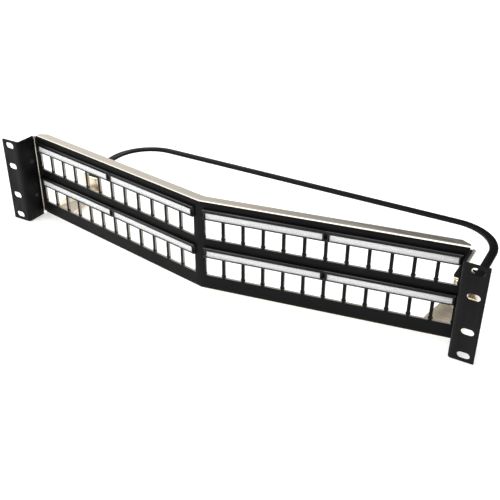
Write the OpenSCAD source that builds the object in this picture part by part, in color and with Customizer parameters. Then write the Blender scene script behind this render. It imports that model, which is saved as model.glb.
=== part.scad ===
// Two-unit, 19 inch rack patch panel with an angled (V-shaped) face of 48 empty jack ports.
// The face is one folded, plated steel sheet, divided here into rails, posts and ends.
// Frame: +X to the right end, +Y to the rear of the rack, +Z up. The origin is the centre of
// the rack slot pattern, on the rear (mounting) face of the ears.

/* [Rack ears] */
// Overall width across both ears
panel_w = 482.6; // [478:0.1:483.6]
// Height of the ears and of the chassis
panel_h = 87.2; // [84:0.1:88.1]
// Sheet thickness of the ear brackets
ear_t = 1.6; // [1.2:0.1:1.8]
// Distance from the inner face of one ear's side wall to that of the other
throat_w = 440.6; // [438:0.1:442]
// Depth of the side walls, from the front of the ears
wall_depth = 20.8; // [18:0.1:21]
// Outer bend radius between ear and side wall
ear_bend_r = 3; // [2.5:0.1:4]
// Distance between the two columns of rack slots
slot_span = 465.1; // [464:0.1:466]
// Vertical distance between the outer pair of slots
slot_outer_z = 76.2; // [76:0.1:76.4]
// Vertical distance between the inner pair of slots
slot_inner_z = 31.75; // [31.5:0.05:32]
// End-to-end length of a rack slot
slot_l = 10.4; // [8:0.1:11]
// Height of a rack slot
slot_h = 6.4; // [5.5:0.1:7]

/* [Chassis] */
// Sheet thickness of the chassis
sheet_t = 2; // [1.5:0.1:2.2]
// Angle by which each half of the face is swept back
sweep = 10; // [8:0.5:11]
// How far the apex of the face stands in front of the ears' rear faces
apex_y = 17; // [14:0.1:19]
// Depth of the top and bottom flanges, from the front of the face
flange_d = 10; // [8:0.1:12]
// Inner radius of the chassis bends
bend_ri = 0.8; // [0.5:0.1:1.2]

/* [Ports] */
// Ports in one row of one half
ports_half = 12; // [12]
// Distance from port to port along the face
port_pitch = 17.91; // [17.5:0.01:18]
// Width of one port opening
port_w = 15; // [14.5:0.1:15.3]
// Height of one port opening
port_h = 19.4; // [19:0.1:19.8]
// Distance from the apex to the first pitch line
port_start = 4.3; // [3.8:0.1:4.8]
// Height of the lower edge of the upper ports above the middle of the panel
row_z = 8.2; // [7.5:0.1:9]
// Vertical distance between the two rows
row_pitch = 37; // [36.5:0.1:37.5]
// How far the catch nibs on a post stand into the ports beside it
nib_w = 0.6; // [0.4:0.1:1]
// Height of a catch nib
nib_h = 1.6; // [1:0.1:2.5]
// Height of a nib's lower edge above the lower edge of the port
nib_z = 1.4; // [1:0.1:2]
// Thickness of a catch nib, from the front of the face
nib_d = 1.2; // [0.8:0.1:1.5]

/* [Labels] */
// Height of a label frame
frame_h = 9.5; // [8:0.1:10]
// How far a label frame stands in front of the face
frame_d = 2.8; // [2.7:0.1:3.4]
// Thickness of the back of a label frame
frame_back = 1.4; // [1.2:0.1:1.5]
// Width of the label window
window_w = 101.8; // [98:0.1:103]
// Height of the label window
window_h = 6; // [5.5:0.1:6.9]
// Thickness of a clear cover
cover_t = 0.7; // [0.6:0.05:0.7]
// Thickness of a paper label
paper_t = 0.2; // [0.1:0.05:0.2]

/* [Rear cable bar] */
// Width of the flat bar
bar_w = 8; // [7:0.1:10]
// Thickness of the flat bar
bar_t = 2.5; // [2:0.1:3]
// Height of the bar's top face, measured from the middle of the panel
bar_top_z = -21; // [-24:0.1:-20]
// Distance across the outer edges of the bar's arms
bar_span = 441.2; // [439:0.1:442]
// Distance from the ears' rear faces to the bar's rear edge
bar_reach = 185.9; // [170:0.1:200]
// Outer radius of the bar's corners
bar_corner_r = 49; // [40:0.5:55]
// Distance from the ears' rear faces to the front of the bar's feet
foot_y = 83.5; // [80:0.1:84]
// Length of the bar's feet, front to back
foot_l = 16.5; // [15:0.1:18]
// Width of the bar's feet
foot_w = 23.6; // [22:0.1:24]
// Radius of the feet's outer front corners
foot_r = 12; // [8:0.5:13]

/* [Rear brackets] */
// Sheet thickness of the rear brackets
bracket_t = 1.5; // [1.2:0.1:1.8]
// Distance from the panel's middle plane to a bracket's outer edge
bracket_x = 220.5; // [217:0.1:220.6]
// Distance from the panel's middle plane to the inner edge of the shelf
shelf_x = 197.5; // [196:0.1:199]
// Distance from the panel's middle plane to the bracket's inner front corner
toe_x = 188; // [186:0.1:190]

/* [Hidden] */
$fn = 48;
peg_fit = 0.05;                               // play of a snap peg or a hinge pin in its hole
half_h = panel_h / 2;
throat_x = throat_w / 2;
ear_x = panel_w / 2;
lap_x = throat_x + ear_t;                     // where the chassis ends lie against the ear walls
bend_ro = bend_ri + sheet_t;
post_w = port_pitch - port_w;
port_end = port_start + ports_half * port_pitch - post_w / 2;   // far edge of the last port
face_slope = tan(sweep);
end_bend_s = (lap_x - bend_ri * (1 + sin(sweep))) / cos(sweep); // start of the end bend
rail_end = end_bend_s - 1.5;                  // the relief notch at the end bend starts here
end_strip_h = panel_h - 7;                    // the face's end strips stop short of the bends
end_flange_h = panel_h - 3.6;                 // height of the end bends and end flanges
end_flange_y = 2.5;                           // front edge of the end flanges
group_ports = 6;                              // ports under one label
frame_w = group_ports * port_pitch - 0.3;
frame_gap = 0.2;                              // from the ports up to a label frame
frame_lip = 0.8;                              // below the window of a label frame
frame_z = row_z + port_h + frame_gap;         // lower edge of an upper label frame
window_z = frame_z + frame_lip;
hinge_r = cover_t / 2;                        // the cover turns on pins as thick as itself
cover_play = 0.15;                            // play above, below and beside a cover
hinge_off = -(frame_back + paper_t + 0.1 + hinge_r);
hinge_z = window_z + window_h - cover_play - hinge_r;
pin_r = hinge_r - 0.02;
pin_l = 1;                                    // length of a hinge pin
peg_r = 1.5;
peg_s = 36;                                   // a frame's snap pegs, from its middle
peg_tip = 0.8;                                // how far a peg stands out behind the sheet
bar_z0 = bar_top_z - bar_t;
bar_x = bar_span / 2;
base_z = -half_h + sheet_t;                   // rear brackets lie on the bottom flange
bracket_bend = bracket_t + 1;
shelf_y = foot_y - 0.6;
hole_x = bar_x - foot_w / 2;                  // the foot's screw
hole_y = foot_y + foot_l / 2;
screw_r = 2;
rivet_r = 1.6;
wall_rivet_y = 13.4;
wall_rivet_z = 18.6;
base_rivets = [194.5, 211.5];
apex_overlap = -8;                            // each half runs past the apex and is cut off there
big = 600;                                    // reaches beyond the whole panel

plated = [0.62, 0.59, 0.54];
black = [0.09, 0.09, 0.09];
paper = [0.93, 0.93, 0.91];
clear = [0.8, 0.88, 0.9, 0.35];

// Places its children on one half of the face: x runs along the face from the apex, y is the
// depth behind the front surface, z is up. side is 1 for the right half and -1 for the left.
module on_half(side) {
    mirror([side < 0 ? 1 : 0, 0, 0])
        translate([0, -apex_y, 0]) rotate([0, 0, sweep]) children();
}

// Draws its children on both halves, each cut off at the middle plane.
module both_halves() {
    for (side = [-1, 1])
        intersection() {
            on_half(side) children();
            translate([side < 0 ? -big : 0, -big / 2, -big / 2]) cube(big);
        }
}

// A block from (x0, y0, z0) to (x1, y1, z1).
module block(x0, x1, y0, y1, z0, z1) {
    translate([x0, y0, z0]) cube([x1 - x0, y1 - y0, z1 - z0]);
}

// Quarter-round bend along x that joins an upright sheet to a flange above it.
module flange_bend(s0, s1) {
    intersection() {
        translate([s0, bend_ro, half_h - bend_ro]) rotate([0, 90, 0])
            difference() {
                cylinder(r = bend_ro, h = s1 - s0);
                translate([0, 0, -1]) cylinder(r = bend_ri, h = s1 - s0 + 2);
            }
        block(s0, s1, 0, bend_ro, half_h - bend_ro, half_h);
    }
}

// Flat of the top rail, in the frame of one half, from z0 up to the bend.
module rail_flat(z0) {
    difference() {
        block(apex_overlap, rail_end, 0, sheet_t, z0, half_h - bend_ro);
        block(port_end, rail_end + 1, -1, sheet_t + 1, z0 - 1, end_strip_h / 2);
    }
}

// Bend and flange on top of the rail, with a chamfered end, in the frame of one half.
module rail_flange() {
    chamfer_d = 5;                            // depth at which the end's chamfer starts
    chamfer_angle = 35;
    difference() {
        union() {
            flange_bend(apex_overlap, rail_end);
            block(apex_overlap, rail_end, bend_ro, flange_d, half_h - sheet_t, half_h);
        }
        translate([rail_end, chamfer_d, 0]) rotate([0, 0, -chamfer_angle])
            block(-20, 20, 0, 20, 0, half_h + 1);
    }
}

// Holes for the snap pegs of the label frames in one row.
module peg_holes(row) {
    for (group = [0, 1], s = [-peg_s, peg_s])
        translate([group_s(group) + s, -1, frame_z + frame_h / 2 - row * row_pitch]) rotate([-90, 0, 0])
            cylinder(r = peg_r + peg_fit, h = sheet_t + 2);
}

// Middle of a label group along the face. Group 0 is next to the apex.
function group_s(group) = port_start + (group + 0.5) * group_ports * port_pitch;

// Narrow gap where the flanges of the two halves meet behind the apex.
module flange_seam() {
    block(-0.3, 0.3, -apex_y + 2 * sheet_t, 0, -half_h - 1, half_h + 1);
}

module chassis_top_rail() {
    color(plated) both_halves() difference() {
        rail_flat(row_z + port_h);
        peg_holes(0);
    }
}

module chassis_top_flange() {
    color(plated) difference() {
        both_halves() rail_flange();
        flange_seam();
    }
}

module chassis_middle_rail() {
    color(plated) both_halves() difference() {
        block(apex_overlap, port_end, 0, sheet_t, row_z - row_pitch + port_h, row_z);
        peg_holes(1);
    }
}

module chassis_bottom_rail() {
    color(plated) both_halves() mirror([0, 0, 1]) rail_flat(row_pitch - row_z);
}

module chassis_bottom_flange() {
    color(plated) difference() {
        both_halves() mirror([0, 0, 1]) rail_flange();
        flange_seam();
        for (side = [-1, 1]) base_rivet_row(side, rivet_r);
    }
}

// Catch nibs at the foot of a post that stands between s0 and s1.
module nibs(s0, s1, z0) {
    block(s0, s1, 0, nib_d, z0 + nib_z, z0 + nib_z + nib_h);
}

// All the posts of one row: one at each pitch line, and the V-shaped one at the apex.
module row_posts(row) {
    z0 = row_z - row * row_pitch;
    color(plated) {
        both_halves() {
            block(apex_overlap, port_start + post_w / 2, 0, sheet_t, z0, z0 + port_h);
            nibs(0, port_start + post_w / 2 + nib_w, z0);
        }
        for (side = [-1, 1]) on_half(side)
            for (k = [1 : ports_half - 1]) {
                s0 = port_start + k * port_pitch - post_w / 2;
                block(s0, s0 + post_w, 0, sheet_t, z0, z0 + port_h);
                nibs(s0 - nib_w, s0 + post_w + nib_w, z0);
            }
    }
}

// End of the chassis: the last strip of the face, the end bend and the flange folded forward
// along the outside of the ear bracket's wall. All three meet at the end bend's axis.
module chassis_end(side) {
    axis_y = -apex_y + end_bend_s * sin(sweep) - bend_ri * cos(sweep);
    color(plated) mirror([side < 0 ? 1 : 0, 0, 0]) difference() {
        translate([lap_x - bend_ri, axis_y, 0]) {
            rotate([0, 0, sweep]) {
                block(port_end - end_bend_s, 0, bend_ri, bend_ro, -end_strip_h / 2, end_strip_h / 2);
                for (row = [0, 1])
                    translate([port_end - end_bend_s, bend_ri, 0])
                        nibs(-nib_w, 1, row_z - row * row_pitch);
            }
            translate([0, 0, -end_flange_h / 2]) {
                rotate_extrude(angle = 90 + sweep) translate([bend_ri, 0]) square([sheet_t, end_flange_h]);
                block(bend_ri, bend_ro, end_flange_y - axis_y, 0, 0, end_flange_h);
            }
        }
        for (z = [-wall_rivet_z, wall_rivet_z]) wall_rivet_hole(z);
    }
}

module wall_rivet_hole(z) {
    translate([throat_x - 1, wall_rivet_y, z]) rotate([0, 90, 0])
        cylinder(r = rivet_r, h = 2 * (ear_t + sheet_t));
}

// One obround rack slot through an ear.
module rack_slot(z) {
    r = slot_h / 2;
    for (dx = [-1, 1])
        translate([slot_span / 2 + dx * (slot_l / 2 - r), 1, z]) rotate([90, 0, 0])
            cylinder(r = r, h = ear_t + 2);
    block(slot_span / 2 - slot_l / 2 + r, slot_span / 2 + slot_l / 2 - r, -ear_t - 1, 1, z - r, z + r);
}

// Ear bracket: the slotted ear and the side wall that runs back from it to the face.
module ear_bracket(side) {
    ri = ear_bend_r - ear_t;
    wall_y = wall_depth - ear_t;
    color(black) mirror([side < 0 ? 1 : 0, 0, 0]) difference() {
        union() {
            block(throat_x + ear_bend_r, ear_x, -ear_t, 0, -half_h, half_h);
            block(throat_x, lap_x, ri, wall_y, -half_h, half_h);
            translate([throat_x + ear_bend_r, ri, -half_h]) rotate([0, 0, 180])
                rotate_extrude(angle = 90) translate([ri, 0]) square([ear_t, panel_h]);
        }
        for (z = [slot_inner_z / 2, slot_outer_z / 2], s = [-1, 1]) rack_slot(s * z);
        for (z = [-wall_rivet_z, wall_rivet_z]) wall_rivet_hole(z);
    }
}

// A rivet through ear wall and chassis end: low domed head inside, formed tail outside.
module ear_rivets(side) {
    grip = ear_t + sheet_t;
    color(black) mirror([side < 0 ? 1 : 0, 0, 0])
        for (z = [-wall_rivet_z, wall_rivet_z])
            translate([throat_x, wall_rivet_y, z]) rotate([0, 90, 0])
                rotate_extrude() polygon([[0, -1.1], [1.3, -1], [2.3, -0.5], [2.5, 0], [rivet_r, 0],
                                          [rivet_r, grip], [2.2, grip], [2, grip + 0.8],
                                          [0, grip + 1]]);
}

// Upright centre lines of the rivets that hold a rear bracket to the bottom flange.
module base_rivet_row(side, r) {
    for (x = base_rivets)
        translate([side * x, -apex_y + x * face_slope + 7, -half_h - 1])
            cylinder(r = r, h = sheet_t + bracket_t + 2);
}

// Rear bracket: a tapered base on the bottom flange, an upstand at its rear edge, and a shelf
// folded back from the upstand that carries the bar's foot.
module rear_bracket(side) {
    shelf_z = bar_z0 - bracket_t;
    front_y = -apex_y + toe_x * face_slope + 4;
    outer_front_y = -apex_y + bracket_x * face_slope + 4;
    color(plated) difference() {
        mirror([side < 0 ? 1 : 0, 0, 0]) {
            translate([0, 0, base_z]) linear_extrude(bracket_t)
                polygon([[toe_x, front_y], [bracket_x, outer_front_y],
                         [bracket_x, shelf_y - bracket_bend + bracket_t],
                         [shelf_x, shelf_y - bracket_bend + bracket_t], [toe_x + 1, 40]]);
            quarter_bend(shelf_x, bracket_x, shelf_y - bracket_bend + bracket_t,
                         base_z + bracket_bend, 1, -1);
            block(shelf_x, bracket_x, shelf_y, shelf_y + bracket_t,
                  base_z + bracket_bend, bar_z0 - bracket_bend);
            quarter_bend(shelf_x, bracket_x, shelf_y + bracket_bend,
                         bar_z0 - bracket_bend, -1, 1);
            block(shelf_x, bracket_x, shelf_y + bracket_bend, foot_y + foot_l, shelf_z, bar_z0);
        }
        base_rivet_row(side, rivet_r);
        translate([side * hole_x, hole_y, shelf_z - 1]) cylinder(r = screw_r, h = bracket_t + 2);
        translate([side * (shelf_x + 3), shelf_y - 1, bar_z0 - 3.2]) rotate([-90, 0, 0])
            cylinder(r = 1, h = bracket_t + 2);
    }
}

// Quarter-round sheet bend along x about the axis (y, z), on the given sides of that axis.
module quarter_bend(x0, x1, y, z, toward_y, toward_z) {
    intersection() {
        translate([x0, y, z]) rotate([0, 90, 0]) difference() {
            cylinder(r = bracket_bend, h = x1 - x0);
            translate([0, 0, -1]) cylinder(r = bracket_bend - bracket_t, h = x1 - x0 + 2);
        }
        translate([x0, toward_y > 0 ? y : y - bracket_bend, toward_z > 0 ? z : z - bracket_bend])
            cube([x1 - x0, bracket_bend, bracket_bend]);
    }
}

// Rivets of one rear bracket: domed heads above, flush below the bottom flange.
module bracket_rivets(side) {
    top = base_z + bracket_t;
    color(plated)
        for (x = base_rivets)
            translate([side * x, -apex_y + x * face_slope + 7, 0]) rotate_extrude()
                polygon([[0, -half_h], [rivet_r, -half_h], [rivet_r, top], [2.9, top],
                         [2.6, top + 0.6], [1.4, top + 1.1], [0, top + 1.2]]);
}

// Flat bar bent into a wide U, with a foot turned inwards at each front end.
module rear_cable_bar() {
    corner_x = bar_x - bar_corner_r;
    corner_y = bar_reach - bar_corner_r;
    color(black) difference() {
        union() {
            block(-corner_x, corner_x, bar_reach - bar_w, bar_reach, bar_z0, bar_top_z);
            for (side = [-1, 1]) mirror([side < 0 ? 1 : 0, 0, 0]) {
                translate([corner_x, corner_y, bar_z0]) rotate_extrude(angle = 90, $fn = 96)
                    translate([bar_corner_r - bar_w, 0]) square([bar_w, bar_t]);
                block(bar_x - bar_w, bar_x, foot_y + foot_r, corner_y, bar_z0, bar_top_z);
                bar_foot();
            }
        }
        for (side = [-1, 1])
            translate([side * hole_x, hole_y, bar_z0 - 1]) cylinder(r = screw_r + 0.2, h = bar_t + 2);
    }
}

// Foot of the bar, on the right side: square inside, and rounded at its outer front corner.
module bar_foot() {
    corner_x = bar_x - foot_r;
    translate([0, 0, bar_z0]) {
        block(bar_x - foot_w, corner_x, foot_y, foot_y + foot_l, 0, bar_t);
        block(corner_x, bar_x, foot_y + foot_r, foot_y + foot_l, 0, bar_t);
        translate([corner_x, foot_y + foot_r, 0]) rotate([0, 0, -90])
            rotate_extrude(angle = 90, $fn = 96) square([foot_r, bar_t]);
    }
}

// Pan-head screws that clamp the bar's feet to the shelves.
module bar_screws() {
    color(plated)
        for (side = [-1, 1])
            translate([side * hole_x, hole_y, 0]) difference() {
                rotate_extrude()
                    polygon([[0, bar_z0 - 7], [1.6, bar_z0 - 7], [screw_r, bar_z0 - 6.5],
                             [screw_r, bar_top_z], [3.9, bar_top_z], [3.9, bar_top_z + 1.2],
                             [3, bar_top_z + 2.2], [0, bar_top_z + 2.5]]);
                for (turn = [0, 90]) rotate(turn)
                    block(-2.1, 2.1, -0.45, 0.45, bar_top_z + 1, bar_top_z + 4);
            }
}

// Hexagon nuts under the shelves.
module bar_nuts() {
    color(plated)
        for (side = [-1, 1])
            translate([side * hole_x, hole_y, bar_z0 - bracket_t - 3.2]) difference() {
                cylinder(r = 4.04, h = 3.2, $fn = 6);
                translate([0, 0, -1]) cylinder(r = screw_r, h = 6);
            }
}

// Places its children on a label position. Labels 1 to 4 run from the left end to the right.
module at_label(row, label) {
    side = label < 3 ? -1 : 1;
    group = label == 1 || label == 4 ? 1 : 0;
    on_half(side) translate([group_s(group), 0, -row * row_pitch]) children();
}

// Moulded label frame, with two snap pegs through the face and a pin hole at each end.
module label_frame(row, label) {
    end_w = (frame_w - window_w) / 2;
    color(black) at_label(row, label) difference() {
        union() {
            block(-frame_w / 2, frame_w / 2, -frame_d, 0, frame_z, frame_z + frame_h);
            for (s = [-peg_s, peg_s])
                translate([s, -0.5, frame_z + frame_h / 2]) rotate([-90, 0, 0])
                    cylinder(r = peg_r, h = 0.5 + sheet_t + peg_tip);
        }
        block(-window_w / 2, window_w / 2, -frame_d - 1, -frame_back, window_z, window_z + window_h);
        translate([-window_w / 2 - pin_l - 0.2, hinge_off, hinge_z]) rotate([0, 90, 0])
            cylinder(r = pin_r + peg_fit, h = window_w + 2 * pin_l + 0.4);
        for (end = [-1, 1])
            translate([end * (frame_w / 2 + 0.6), -frame_d, frame_z + frame_h / 2])
                cylinder(r = end_w * 0.7, h = frame_h * 0.45, center = true);
    }
}

module paper_label(row, label) {
    gap = 0.3;
    color(paper) at_label(row, label)
        block(-window_w / 2 + gap, window_w / 2 - gap, -frame_back - paper_t, -frame_back,
              window_z + gap / 2, window_z + window_h - gap / 2);
}

// Clear cover that flips up about the two pins at its upper corners.
module label_cover(row, label) {
    w = window_w - 2 * cover_play;
    color(clear) at_label(row, label) {
        block(-w / 2, w / 2, hinge_off - hinge_r, hinge_off + hinge_r, window_z + cover_play, hinge_z);
        translate([-w / 2, hinge_off, hinge_z]) rotate([0, 90, 0]) cylinder(r = hinge_r, h = w);
        translate([-w / 2 - pin_l, hinge_off, hinge_z]) rotate([0, 90, 0])
            cylinder(r = pin_r, h = w + 2 * pin_l);
    }
}

chassis_top_flange();
chassis_top_rail();
chassis_middle_rail();
chassis_bottom_rail();
chassis_bottom_flange();
row_posts(0);  // chassis_upper_posts
row_posts(1);  // chassis_lower_posts
chassis_end(-1);  // chassis_left_end
chassis_end(1);  // chassis_right_end
ear_bracket(-1);  // left_ear_bracket
ear_bracket(1);  // right_ear_bracket
ear_rivets(-1);  // left_ear_rivets
ear_rivets(1);  // right_ear_rivets
rear_bracket(-1);  // left_rear_bracket
rear_bracket(1);  // right_rear_bracket
bracket_rivets(-1);  // left_bracket_rivets
bracket_rivets(1);  // right_bracket_rivets
rear_cable_bar();
bar_screws();
bar_nuts();
label_frame(0, 1);  // upper_label_frame_1
label_frame(0, 2);  // upper_label_frame_2
label_frame(0, 3);  // upper_label_frame_3
label_frame(0, 4);  // upper_label_frame_4
label_frame(1, 1);  // lower_label_frame_1
label_frame(1, 2);  // lower_label_frame_2
label_frame(1, 3);  // lower_label_frame_3
label_frame(1, 4);  // lower_label_frame_4
paper_label(0, 1);  // upper_paper_label_1
paper_label(0, 2);  // upper_paper_label_2
paper_label(0, 3);  // upper_paper_label_3
paper_label(0, 4);  // upper_paper_label_4
paper_label(1, 1);  // lower_paper_label_1
paper_label(1, 2);  // lower_paper_label_2
paper_label(1, 3);  // lower_paper_label_3
paper_label(1, 4);  // lower_paper_label_4
label_cover(0, 1);  // upper_label_cover_1
label_cover(0, 2);  // upper_label_cover_2
label_cover(0, 3);  // upper_label_cover_3
label_cover(0, 4);  // upper_label_cover_4
label_cover(1, 1);  // lower_label_cover_1
label_cover(1, 2);  // lower_label_cover_2
label_cover(1, 3);  // lower_label_cover_3
label_cover(1, 4);  // lower_label_cover_4
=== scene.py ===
# Looks of the angled patch panel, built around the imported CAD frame. Units are metres in the
# frame's axes; the sizes below are in millimetres and are turned into metres by MM.
import math

import bmesh
import bpy
from mathutils import Matrix, Vector


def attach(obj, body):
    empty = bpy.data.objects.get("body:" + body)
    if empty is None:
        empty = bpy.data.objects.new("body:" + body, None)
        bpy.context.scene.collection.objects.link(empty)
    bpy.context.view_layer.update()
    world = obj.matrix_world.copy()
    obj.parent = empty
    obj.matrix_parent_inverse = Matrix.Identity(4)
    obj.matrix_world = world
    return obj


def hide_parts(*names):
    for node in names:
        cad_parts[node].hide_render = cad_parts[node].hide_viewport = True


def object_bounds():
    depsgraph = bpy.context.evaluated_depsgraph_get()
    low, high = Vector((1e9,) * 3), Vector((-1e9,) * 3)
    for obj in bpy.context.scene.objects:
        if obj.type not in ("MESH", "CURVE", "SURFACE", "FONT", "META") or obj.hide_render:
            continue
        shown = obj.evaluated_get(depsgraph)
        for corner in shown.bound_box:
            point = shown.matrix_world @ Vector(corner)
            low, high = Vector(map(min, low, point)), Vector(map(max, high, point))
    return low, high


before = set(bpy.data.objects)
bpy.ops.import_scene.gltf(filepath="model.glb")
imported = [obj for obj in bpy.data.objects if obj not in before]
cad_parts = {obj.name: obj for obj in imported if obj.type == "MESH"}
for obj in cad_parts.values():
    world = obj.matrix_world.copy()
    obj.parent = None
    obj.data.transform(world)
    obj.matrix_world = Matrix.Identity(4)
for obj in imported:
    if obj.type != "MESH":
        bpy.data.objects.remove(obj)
cad_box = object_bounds()

MM = 0.001

# ---------------------------------------------------------------- camera, floor and light

LENS = 54.84                # mm, on a sensor 36 mm wide
SENSOR = 36
CAMERA_PLACE = (0.32115, -0.4900, 0.33227)
CAMERA_FORWARD = (-0.42778531, 0.74759803, -0.50803239)
CAMERA_UP = (-0.25656942, 0.43850529, 0.8613276)
FLOOR_HALF = 9.0            # half the floor's side, in metres
FLOOR_GAP = 0.0005          # the floor lies this far under the panel, in metres
FLOOR_GLOW = 0.42           # lightens the shadow on the floor
AMBIENT = 0.07
# Each lobe of light: the direction it comes from, the cosines where it starts and is full, and its
# strength.
LOBES = (((0, 0, 1), 0.55, 1.0, 0.9),
         ((-0.82, 0.5, 0.3), 0.72, 1.0, 0.75),
         ((-0.6, -0.75, 0.4), 0.3, 1.0, 0.5),
         ((-0.81, -0.24, 0.53), 0.82, 1.0, 1.1))
LIGHT_TARGET = (0, 0.05, 0)


def make_camera():
    data = bpy.data.cameras.new("camera")
    data.lens = LENS
    data.sensor_width = SENSOR
    data.clip_start = 0.01
    camera = bpy.data.objects.new("camera", data)
    bpy.context.scene.collection.objects.link(camera)
    forward = Vector(CAMERA_FORWARD).normalized()
    up = Vector(CAMERA_UP)
    right = forward.cross(up).normalized()
    up = right.cross(forward)
    turn = Matrix((right, up, -forward)).transposed()
    camera.matrix_world = Matrix.Translation(CAMERA_PLACE) @ turn.to_4x4()
    bpy.context.scene.camera = camera


def make_floor():
    bm = bmesh.new()
    corners = ((-1, -1), (1, -1), (1, 1), (-1, 1))
    bm.faces.new([bm.verts.new((x * FLOOR_HALF, y * FLOOR_HALF, 0)) for x, y in corners])
    mesh = bpy.data.meshes.new("floor")
    bm.to_mesh(mesh)
    bm.free()
    floor = bpy.data.objects.new("floor", mesh)
    floor.location = (0, 0, cad_box[0][2] - FLOOR_GAP)
    bpy.context.scene.collection.objects.link(floor)
    floor.data.materials.append(floor_material())


def make_world():
    world = bpy.data.worlds.new("studio")
    bpy.context.scene.world = world
    world.use_nodes = True
    tree = world.node_tree
    tree.nodes.clear()
    out = tree.nodes.new("ShaderNodeOutputWorld")
    background = tree.nodes.new("ShaderNodeBackground")
    tree.links.new(background.outputs[0], out.inputs[0])
    coords = tree.nodes.new("ShaderNodeTexCoord")
    total = None
    for direction, start, end, strength in LOBES:
        dot = tree.nodes.new("ShaderNodeVectorMath")
        dot.operation = "DOT_PRODUCT"
        dot.inputs[1].default_value = Vector(direction).normalized()
        tree.links.new(coords.outputs["Generated"], dot.inputs[0])
        ramp = tree.nodes.new("ShaderNodeMapRange")
        ramp.interpolation_type = "SMOOTHSTEP"
        ramp.inputs["From Min"].default_value = start
        ramp.inputs["From Max"].default_value = end
        ramp.inputs["To Min"].default_value = 0
        ramp.inputs["To Max"].default_value = strength
        tree.links.new(dot.outputs["Value"], ramp.inputs["Value"])
        if total is None:
            total = ramp.outputs[0]
        else:
            add = tree.nodes.new("ShaderNodeMath")
            add.operation = "ADD"
            tree.links.new(total, add.inputs[0])
            tree.links.new(ramp.outputs[0], add.inputs[1])
            total = add.outputs[0]
    base = tree.nodes.new("ShaderNodeMath")
    base.operation = "ADD"
    base.inputs[1].default_value = AMBIENT
    tree.links.new(total, base.inputs[0])
    tree.links.new(base.outputs[0], background.inputs["Strength"])
    background.inputs["Color"].default_value = (1.0, 0.995, 0.985, 1)


def make_lights():
    def area(name, place, size, power):
        data = bpy.data.lights.new(name, "AREA")
        data.shape = "RECTANGLE"
        data.size, data.size_y = size
        data.energy = power
        light = bpy.data.objects.new(name, data)
        light.location = place
        aim = Vector(LIGHT_TARGET) - Vector(place)
        light.rotation_euler = aim.to_track_quat("-Z", "Y").to_euler()
        bpy.context.scene.collection.objects.link(light)
    area("key", (-1.3, -1.5, 1.5), (1.6, 1.2), 18)
    area("top", (0.1, 0.2, 2.2), (2.4, 2.4), 17)


# ---------------------------------------------------------------- materials


class Shader:
    """A node material with a principled shader, and short ways to add detail to it."""

    def __init__(self, name, color, metallic=0.0, roughness=0.5, specular=0.5):
        self.material = bpy.data.materials.new(name)
        self.material.use_nodes = True
        self.tree = self.material.node_tree
        self.shader = self.tree.nodes["Principled BSDF"]
        self.shader.inputs["Base Color"].default_value = (*color, 1)
        self.shader.inputs["Metallic"].default_value = metallic
        self.shader.inputs["Roughness"].default_value = roughness
        self.shader.inputs["Specular IOR Level"].default_value = specular
        self.coords = self.tree.nodes.new("ShaderNodeTexCoord").outputs["Object"]
        self.height = None

    def link(self, a, b):
        self.tree.links.new(a, b)

    def noise(self, scale, detail=3.0, stretch=(1, 1, 1), rough=0.5):
        mapping = self.tree.nodes.new("ShaderNodeMapping")
        mapping.inputs["Scale"].default_value = stretch
        self.link(self.coords, mapping.inputs["Vector"])
        node = self.tree.nodes.new("ShaderNodeTexNoise")
        node.inputs["Scale"].default_value = scale
        node.inputs["Detail"].default_value = detail
        node.inputs["Roughness"].default_value = rough
        self.link(mapping.outputs[0], node.inputs["Vector"])
        return node.outputs["Fac"]

    def spread(self, value, low, high):
        """Stretches the middle of a noise to run from low to high."""
        node = self.tree.nodes.new("ShaderNodeMapRange")
        node.inputs["From Min"].default_value = 0.3
        node.inputs["From Max"].default_value = 0.7
        node.inputs["To Min"].default_value = low
        node.inputs["To Max"].default_value = high
        self.link(value, node.inputs["Value"])
        return node.outputs[0]

    def mix(self, value, a, b):
        """Mixes two fixed colours, from a at 0 to b at 1."""
        node = self.tree.nodes.new("ShaderNodeMix")
        node.data_type = "RGBA"
        self.link(value, node.inputs["Factor"])
        for end, color in (("A", a), ("B", b)):
            socket = [s for s in node.inputs if s.name == end and s.type == "RGBA"][0]
            socket.default_value = (*color, 1)
        return [s for s in node.outputs if s.type == "RGBA"][0]

    def color(self, output):
        self.link(output, self.shader.inputs["Base Color"])

    def roughness(self, output):
        self.link(output, self.shader.inputs["Roughness"])

    def bump(self, output, distance):
        node = self.tree.nodes.new("ShaderNodeBump")
        node.inputs["Strength"].default_value = 1.0
        node.inputs["Distance"].default_value = distance
        self.link(output, node.inputs["Height"])
        if self.height is not None:
            self.link(self.height, node.inputs["Normal"])
        self.height = node.outputs["Normal"]
        self.link(self.height, self.shader.inputs["Normal"])


def powder_coat(name, dark, light, roughness=0.5, specular=0.2):
    """Satin powder coat: a slow drift of tone and of gloss, and orange peel in two sizes."""
    m = Shader(name, dark, 0.0, roughness, specular)
    m.color(m.mix(m.spread(m.noise(60, 4), 0, 1), dark, light))
    m.roughness(m.spread(m.noise(35, 3), roughness - 0.06, roughness + 0.08))
    m.bump(m.noise(1400, 2), 0.00003)
    m.bump(m.noise(420, 2), 0.00004)
    return m.material


def plated_steel(name, tint, low=0.22, high=0.34):
    """Warm zinc plating over rolled sheet: long fine rolling lines, and cloudy patches."""
    m = Shader(name, tint, 1.0, 0.38, 0.5)
    warm = tuple(c * k for c, k in zip(tint, (1.0, 0.965, 0.91)))
    cool = tuple(c * k for c, k in zip(tint, (0.93, 0.94, 0.93)))
    lines = m.noise(160, 4, (0.06, 1.0, 1.0), 0.6)
    m.color(m.mix(m.spread(m.noise(38, 5), 0, 1), warm, cool))
    m.roughness(m.spread(lines, low, high))
    m.bump(m.noise(900, 3, (0.05, 1.0, 1.0)), 0.00002)
    return m.material


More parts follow.
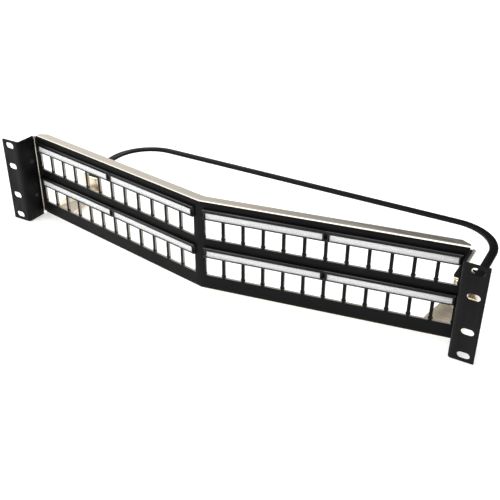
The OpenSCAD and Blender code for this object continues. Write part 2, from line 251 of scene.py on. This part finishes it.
def cut_edge(name, tint):
    """Punched edge of the sheet: short shear lines across the thickness, and duller than plating."""
    m = Shader(name, tint, 0.75, 0.5, 0.5)
    dull = tuple(c * 0.72 for c in tint)
    m.color(m.mix(m.spread(m.noise(500, 3), 0, 1), tint, dull))
    m.roughness(m.spread(m.noise(300, 2), 0.42, 0.62))
    m.bump(m.noise(1500, 2, (1.0, 0.15, 1.0)), 0.00003)
    return m.material


def fastener_zinc(name, tint):
    m = Shader(name, tint, 1.0, 0.33, 0.5)
    m.color(m.mix(m.spread(m.noise(250, 3), 0, 1), tint, tuple(c * 0.82 for c in tint)))
    m.roughness(m.spread(m.noise(400, 3), 0.26, 0.42))
    m.bump(m.noise(1200, 2), 0.00002)
    return m.material


def moulded_black(name, low, high, specular):
    """Moulded plastic: duller on its flats, and polished where its edges are rounded."""
    m = Shader(name, (0.006, 0.006, 0.0065), 0.0, (low + high) / 2, specular)
    m.color(m.mix(m.spread(m.noise(90, 3), 0, 1),
                  (0.005, 0.005, 0.0055), (0.009, 0.009, 0.010)))
    m.roughness(m.spread(m.noise(70, 3), low, high))
    m.bump(m.noise(2200, 2), 0.00001)
    return m.material


def label_card(name):
    m = Shader(name, (0.93, 0.93, 0.93), 0.0, 0.8, 0.3)
    m.color(m.mix(m.spread(m.noise(900, 3, (0.3, 1.0, 1.0)), 0, 1),
                  (0.905, 0.905, 0.91), (0.93, 0.93, 0.93)))
    m.roughness(m.spread(m.noise(800, 2), 0.72, 0.9))
    m.bump(m.noise(3000, 2), 0.000003)
    return m.material


def clear_plastic(name):
    m = Shader(name, (0.92, 0.94, 0.95), 0.0, 0.12, 0.5)
    m.shader.inputs["Alpha"].default_value = 0.22
    m.roughness(m.spread(m.noise(120, 3, (0.2, 1.0, 1.0)), 0.08, 0.18))
    m.bump(m.noise(60, 2, (0.15, 1.0, 1.0)), 0.00004)
    m.material.surface_render_method = "BLENDED"
    return m.material


def floor_material():
    m = Shader("floor_paper", (0.93, 0.93, 0.925), 0.0, 0.9, 0.0)
    m.shader.inputs["Emission Color"].default_value = (1, 1, 1, 1)
    m.shader.inputs["Emission Strength"].default_value = FLOOR_GLOW
    m.color(m.mix(m.spread(m.noise(9, 3), 0, 1),
                  (0.925, 0.925, 0.92), (0.94, 0.94, 0.935)))
    m.bump(m.noise(700, 2), 0.00002)
    return m.material


# ---------------------------------------------------------------- sizes of the panel, in mm

PANEL_H = 87.2
HALF_H = PANEL_H / 2
SHEET = 2.0
SWEEP = math.radians(10)
APEX = 17.0
FLANGE_D = 10.0
BEND_RI = 0.8
BEND_RO = BEND_RI + SHEET
PORTS = 12
PITCH = 17.91
PORT_W = 15.0
PORT_H = 19.4
PORT_START = 4.3
POST_W = PITCH - PORT_W
ROW_Z = 8.2
ROW_PITCH = 37.0
THROAT_X = 220.3
EAR_T = 1.6
LAP_X = THROAT_X + EAR_T
END_BEND_S = (LAP_X - BEND_RI * (1 + math.sin(SWEEP))) / math.cos(SWEEP)
RAIL_END = END_BEND_S - 1.5
END_AXIS_Y = -APEX + END_BEND_S * math.sin(SWEEP) - BEND_RI * math.cos(SWEEP)
END_STRIP_H = PANEL_H - 7       # height of the strip between the rails' ends and the end bends
END_FLANGE_H = PANEL_H - 3.6    # height of the end flanges behind those bends
END_FLANGE_Y = 2.5
PORT_END = PORT_START + PORTS * PITCH - POST_W / 2
SEAM = 0.15                 # half the gap between the two halves' flanges at the apex
SEAM_DEPTH = 5.0            # that gap starts this far behind the face
NIB_W = 0.6
NIB_H = 1.6
NIB_Z = 1.4
NIB_D = 1.2
NIB_ROOT = 0.4              # the nibs start this far inside the post
NIB_PROUD = 0.02            # and stand this far out of its front
BASE_RIVETS = (194.5, 211.5)
BASE_RIVET_R = 1.75
BASE_RIVET_Y = 7.0          # the rivet holes lie this far behind the face
BASE_RIVET_SIDES = 32
COATED_TURN = 0.43          # the bends are bare from the flange up to this part of their turn
CHAMFER_D = 5.0
CHAMFER = math.radians(35)
CHAMFER_REACH = 30          # half the cutting wedge's length, past every edge it has to cut
CHAMFER_BACK = 60           # depth of the wedge's rear side
CHAMFER_ROOM = 0.3          # the wedge starts this far inside the flange bend
FLANGE_BEND_STEPS = 9
END_BEND_STEPS = 8
SAME = 1e-6                 # lengths closer than this are the same
SHARP = 30                  # degrees; edges turned by more than this are softened
FRAME_LONG = 20             # the label frames' outer edges are longer than this


def half_point(side, s, depth, z):
    """A point of one half of the face: s along the face from the apex, depth behind its front."""
    x = s * math.cos(SWEEP) - depth * math.sin(SWEEP)
    y = -APEX + s * math.sin(SWEEP) + depth * math.cos(SWEEP)
    return Vector((side * x, y, z)) * MM


# ---------------------------------------------------------------- mesh helpers


def finish_mesh(bm, name, materials, bevel=0.0, segments=2, angle=SHARP):
    bmesh.ops.recalc_face_normals(bm, faces=bm.faces[:])
    for face in bm.faces:
        face.smooth = True
    mesh = bpy.data.meshes.new(name)
    bm.to_mesh(mesh)
    bm.free()
    for material in materials:
        mesh.materials.append(material)
    obj = bpy.data.objects.new(name, mesh)
    bpy.context.scene.collection.objects.link(obj)
    if bevel:
        add_bevel(obj, bevel, segments, angle)
    return obj


def add_bevel(obj, width, segments, angle):
    mod = obj.modifiers.new("edges", "BEVEL")
    mod.width = width * MM
    mod.segments = segments
    mod.limit_method = "ANGLE"
    mod.angle_limit = math.radians(angle)
    mod.harden_normals = True
    mod.use_clamp_overlap = True


def apply_modifiers(obj):
    graph = bpy.context.evaluated_depsgraph_get()
    mesh = bpy.data.meshes.new_from_object(obj.evaluated_get(graph),
                                           preserve_all_data_layers=True, depsgraph=graph)
    obj.modifiers.clear()
    obj.data = mesh


def refined(node, name, material, bevel, segments=2, body="root", polish=None):
    """A piece that takes a CAD node's shape, with its flats made whole and its edges softened. With
    a material in polish, only its long upper and lower edges are softened, and take that."""
    bm = bmesh.new()
    bm.from_mesh(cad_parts[node].data)
    bmesh.ops.remove_doubles(bm, verts=bm.verts[:], dist=0.002 * MM)
    bmesh.ops.dissolve_limit(bm, angle_limit=math.radians(0.6), verts=bm.verts[:],
                             edges=bm.edges[:], delimit=set())
    for face in bm.faces:
        face.material_index = 0
    if polish:
        weights = bm.edges.layers.float.new("bevel_weight_edge")
        heights = [vert.co.z for vert in bm.verts]
        for edge in bm.edges:
            sharp = edge.is_manifold and edge.calc_face_angle() > math.radians(SHARP)
            middle = (edge.verts[0].co.z + edge.verts[1].co.z) / 2
            outer = min(middle - min(heights), max(heights) - middle) < 0.1 * MM
            long = edge.calc_length() > FRAME_LONG * MM
            edge[weights] = 1.0 if sharp and outer and long else 0.0
    piece = finish_mesh(bm, name, [material], bevel, segments)
    if polish:
        piece.modifiers["edges"].limit_method = "WEIGHT"
        piece.data.materials.append(polish)
        piece.modifiers["edges"].material = 1
    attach(piece, body)
    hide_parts(node)
    return piece


def cut(obj, cutters):
    """Takes the cutters' volume out of obj. They are removed afterwards."""
    for cutter in cutters:
        mod = obj.modifiers.new("cut", "BOOLEAN")
        mod.operation = "DIFFERENCE"
        mod.solver = "EXACT"
        mod.object = cutter
    apply_modifiers(obj)
    for cutter in cutters:
        bpy.data.objects.remove(cutter)


def prism(name, points, low, high):
    """An upright prism over a polygon, as an object for cutting."""
    bm = bmesh.new()
    base = [bm.verts.new((x * MM, y * MM, low * MM)) for x, y in points]
    face = bm.faces.new(base)
    top = bmesh.ops.extrude_face_region(bm, geom=[face])
    bmesh.ops.translate(bm, vec=(0, 0, (high - low) * MM),
                        verts=[v for v in top["geom"] if isinstance(v, bmesh.types.BMVert)])
    return finish_mesh(bm, name, [])


# ---------------------------------------------------------------- the folded chassis sheet

FRONT, BARE, EDGE = 0, 1, 2


def chassis_rows():
    """Stations up the sheet from the bottom flange to the top one, as (kind, depth, sign, value):
    the depth of a flange station behind the face, the sign of its end of the panel, and a part of
    the bend's turn or a height on the face."""
    rows = []
    turn = FLANGE_BEND_STEPS
    rows.append(("flange", FLANGE_D, -1, 0))
    rows.append(("flange", SEAM_DEPTH, -1, 0))
    for k in range(turn + 1):
        rows.append(("bend", BEND_RO, -1, k / turn))
    heights = [-END_STRIP_H / 2]
    for row in (1, 0):
        z0 = ROW_Z - row * ROW_PITCH
        heights += [z0, z0 + PORT_H]
    heights.append(END_STRIP_H / 2)
    for z in heights:
        rows.append(("face", 0, 0, z))
    for k in range(turn, -1, -1):
        rows.append(("bend", BEND_RO, 1, k / turn))
    rows.append(("flange", SEAM_DEPTH, 1, 0))
    rows.append(("flange", FLANGE_D, 1, 0))
    return rows


def chassis_columns():
    """Stations along one half of the sheet from the apex to the end flange, as (kind, value)."""
    cols = [("apex", 0.0)]
    for k in range(PORTS + 1):
        for ds in (-POST_W / 2, POST_W / 2):
            s = PORT_START + k * PITCH + ds
            if SAME < s <= PORT_END + SAME and not (k == 0 and ds < 0):
                cols.append(("face", s))
    cols.append(("face", RAIL_END))
    cols.append(("face", END_BEND_S))
    for k in range(1, END_BEND_STEPS + 1):
        cols.append(("bend", k / END_BEND_STEPS))
    cols.append(("flange", END_FLANGE_Y))
    return cols


def chassis_sheet(front, bare, edge):
    """The whole folded sheet as one skin: coated on the face, bare elsewhere, with cut edges."""
    rows, cols = chassis_rows(), chassis_columns()
    inset = HALF_H - BEND_RO

    def row_point(row, back):
        """(depth, z) of a row's front or back surface."""
        kind, flange_depth, sign, value = row
        if kind == "face":
            return (SHEET if back else 0.0), value
        r = BEND_RI if back else BEND_RO
        if kind == "flange":
            return flange_depth, sign * (inset + r)
        angle = value * math.pi / 2
        return BEND_RO - r * math.sin(angle), sign * (inset + r * math.cos(angle))

    def place(side, col, row, back):
        depth, z = row_point(row, back)
        kind, value = col
        if kind == "apex":
            if depth > SEAM_DEPTH + 0.01:
                return Vector((side * SEAM, -APEX + depth / math.cos(SWEEP), z)) * MM
            return Vector((0, -APEX + depth / math.cos(SWEEP), z)) * MM
        if kind == "face":
            return half_point(side, value, depth, z)
        r = BEND_RO if back else BEND_RI
        if abs(abs(z) - END_STRIP_H / 2) < 0.01:
            z = math.copysign(END_FLANGE_H / 2, z)
        if kind == "bend":
            angle = math.pi / 2 + SWEEP - value * (math.pi / 2 + SWEEP)
            return Vector((side * (LAP_X - BEND_RI + r * math.cos(angle)),
                           END_AXIS_Y + r * math.sin(angle), z)) * MM
        return Vector((side * (LAP_X - BEND_RI + r), END_FLANGE_Y, z)) * MM

    def exists(i, j):
        """Whether the cell above row j and outward of column i is sheet, not a port or air."""
        kind, value = cols[i]
        low, high = rows[j], rows[j + 1]
        on_face = low[0] == "face" and high[0] == "face"
        if kind == "bend" or (kind == "face" and value > RAIL_END - SAME):
            return on_face
        if not on_face:
            return True
        for row in (0, 1):
            z0 = ROW_Z - row * ROW_PITCH
            if abs(low[3] - z0) < SAME and kind == "face":
                k = (value - PORT_START - POST_W / 2) / PITCH
                if abs(k - round(k)) < 1e-4 and value < PORT_END - 1:
                    return False
        return True

    bm = bmesh.new()
    for side in (-1, 1):
        verts = {}

        def vert(i, j, back):
            if (i, j, back) not in verts:
                verts[i, j, back] = bm.verts.new(place(side, cols[i], rows[j], back))
            return verts[i, j, back]

        cells = {(i, j) for i in range(len(cols) - 1) for j in range(len(rows) - 1)
                 if exists(i, j)}
        for i, j in cells:
            low, high = rows[j], rows[j + 1]
            corners = ((i, j), (i + 1, j), (i + 1, j + 1), (i, j + 1))
            skin = bm.faces.new([vert(a, b, False) for a, b in corners])
            turned = low[0] == "bend" and min(low[3], high[3]) > COATED_TURN
            coated = "face" in (low[0], high[0]) or turned
            coated = coated and cols[i][0] in ("apex", "face")
            skin.material_index = FRONT if coated else BARE
            skin = bm.faces.new([vert(a, b, True) for a, b in reversed(corners)])
            skin.material_index = BARE
            for n, (di, dj) in enumerate(((0, -1), (1, 0), (0, 1), (-1, 0))):
                if (i + di, j + dj) in cells:
                    continue
                deep = low[0] == "flange" and high[0] == "flange"
                if i == 0 and di == -1 and not deep:
                    continue
                p, q = corners[n], corners[(n + 1) % 4]
                skin = bm.faces.new([vert(*q, False), vert(*p, False),
                                     vert(*p, True), vert(*q, True)])
                skin.material_index = EDGE
    bmesh.ops.remove_doubles(bm, verts=bm.verts[:], dist=0.01 * MM)
    obj = finish_mesh(bm, "chassis_sheet", [front, bare, edge])
    cut(obj, [cutter for side in (-1, 1) for cutter in chassis_cutters(side)])
    add_bevel(obj, 0.18, 2, 40)
    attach(obj, "root")
    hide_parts("chassis_top_flange", "chassis_top_rail", "chassis_middle_rail",
                "chassis_bottom_rail", "chassis_bottom_flange", "chassis_upper_posts",
                "chassis_lower_posts", "chassis_left_end", "chassis_right_end")


def chassis_cutters(side):
    """Wedges that bevel both flanges' outer corners on one side, and drills for its rivet holes."""
    cutters = []
    lean = CHAMFER_REACH * math.tan(CHAMFER)
    points = []
    for s, depth in ((RAIL_END + CHAMFER_REACH, CHAMFER_D - lean),
                     (RAIL_END - CHAMFER_REACH, CHAMFER_D + lean),
                     (RAIL_END - CHAMFER_REACH, CHAMFER_BACK),
                     (RAIL_END + CHAMFER_REACH, CHAMFER_BACK)):
        p = half_point(side, s, depth, 0) / MM
        points.append((p.x, p.y))
    inner = HALF_H - BEND_RO - CHAMFER_ROOM
    for low, high in ((inner, HALF_H + 5), (-HALF_H - 5, -inner)):
        cutters.append(prism("wedge", points, low, high))
    for x in BASE_RIVETS:
        y = -APEX + x * math.tan(SWEEP) + BASE_RIVET_Y
        angles = [2 * math.pi * k / BASE_RIVET_SIDES for k in range(BASE_RIVET_SIDES)]
        ring = [(side * x + BASE_RIVET_R * math.cos(a), y + BASE_RIVET_R * math.sin(a))
                for a in angles]
        cutters.append(prism("drill", ring, -HALF_H - 3, -HALF_H + SHEET + 2))
    return cutters


def catch_nibs(coat):
    """Small coated nibs that stand out of both edges of each post, near its foot."""
    bm = bmesh.new()
    for side in (-1, 1):
        for row in (0, 1):
            low = ROW_Z - row * ROW_PITCH + NIB_Z
            for k in range(PORTS + 1):
                for edge in (-1, 1):
                    if (k == 0 and edge < 0) or (k == PORTS and edge > 0):
                        continue
                    root = PORT_START + k * PITCH + edge * (POST_W / 2 - NIB_ROOT)
                    nib = bmesh.ops.create_cube(bm, size=1)
                    for v in nib["verts"]:
                        s = root + edge * (v.co.x + 0.5) * (NIB_W + NIB_ROOT)
                        depth = -NIB_PROUD + (v.co.y + 0.5) * NIB_D
                        v.co = half_point(side, s, depth, low + (v.co.z + 0.5) * NIB_H)
    obj = finish_mesh(bm, "catch_nibs", [coat], 0.25, 2, 40)
    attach(obj, "root")


# ---------------------------------------------------------------- build everything

make_camera()
make_world()
make_lights()
make_floor()

COAT = powder_coat("face_coat", (0.004, 0.004, 0.0043), (0.0055, 0.0055, 0.006), 0.5, 0.10)
EAR_COAT = powder_coat("ear_coat", (0.0045, 0.0045, 0.0048), (0.0065, 0.0065, 0.007), 0.5, 0.12)
BAR_COAT = powder_coat("bar_coat", (0.003, 0.003, 0.0033), (0.005, 0.005, 0.0055), 0.42, 0.12)
PLATED = plated_steel("plated_sheet", (0.86, 0.815, 0.745))
BRACKET = plated_steel("plated_bracket", (0.78, 0.70, 0.57), 0.2, 0.3)
# The rivets' coat is lighter than the ear's coat: a painted sheen, so the rivet heads show as faint
# dots on the black ear.
RIVET_COAT_PAINTED_SHEEN = powder_coat("rivet_coat_painted_sheen", (0.010, 0.010, 0.0105), (0.014, 0.014, 0.0145), 0.34, 0.45)
# The cut edges' tint is darker than the plating: partly the bare punched steel, partly painted shade
# on the sides of the port openings.
CUT_EDGE_SHADED = cut_edge("cut_edge", (0.48, 0.465, 0.43))
ZINC = fastener_zinc("zinc_fastener", (0.72, 0.71, 0.68))
FRAME = moulded_black("moulded_black", 0.38, 0.5, 0.2)
FRAME_EDGE = moulded_black("moulded_black_edge", 0.16, 0.24, 1.0)
CARD = label_card("label_card")
CLEAR = clear_plastic("clear_cover")

chassis_sheet(COAT, PLATED, CUT_EDGE_SHADED)
catch_nibs(COAT)
for side in ("left", "right"):
    refined(f"{side}_ear_bracket", f"{side}_ear", EAR_COAT, 0.3, 3)
    refined(f"{side}_ear_rivets", f"{side}_ear_rivet_pair", RIVET_COAT_PAINTED_SHEEN, 0.12)
    refined(f"{side}_rear_bracket", f"{side}_bar_bracket", BRACKET, 0.2)
    refined(f"{side}_bracket_rivets", f"{side}_bracket_rivet_pair", ZINC, 0.12)
refined("rear_cable_bar", "cable_bar", BAR_COAT, 0.35)
refined("bar_screws", "foot_screws", ZINC, 0.1)
refined("bar_nuts", "foot_nuts", ZINC, 0.15)
for row in ("upper", "lower"):
    for label in range(1, 5):
        refined(f"{row}_label_frame_{label}", f"{row}_frame_{label}", FRAME, 0.45, 3,
                polish=FRAME_EDGE)
        refined(f"{row}_paper_label_{label}", f"{row}_card_{label}", CARD, 0.04)
        refined(f"{row}_label_cover_{label}", f"{row}_cover_{label}", CLEAR, 0.1,
                body=f"{row}_label_cover_{label}")

bpy.context.scene.view_settings.view_transform = "Standard"
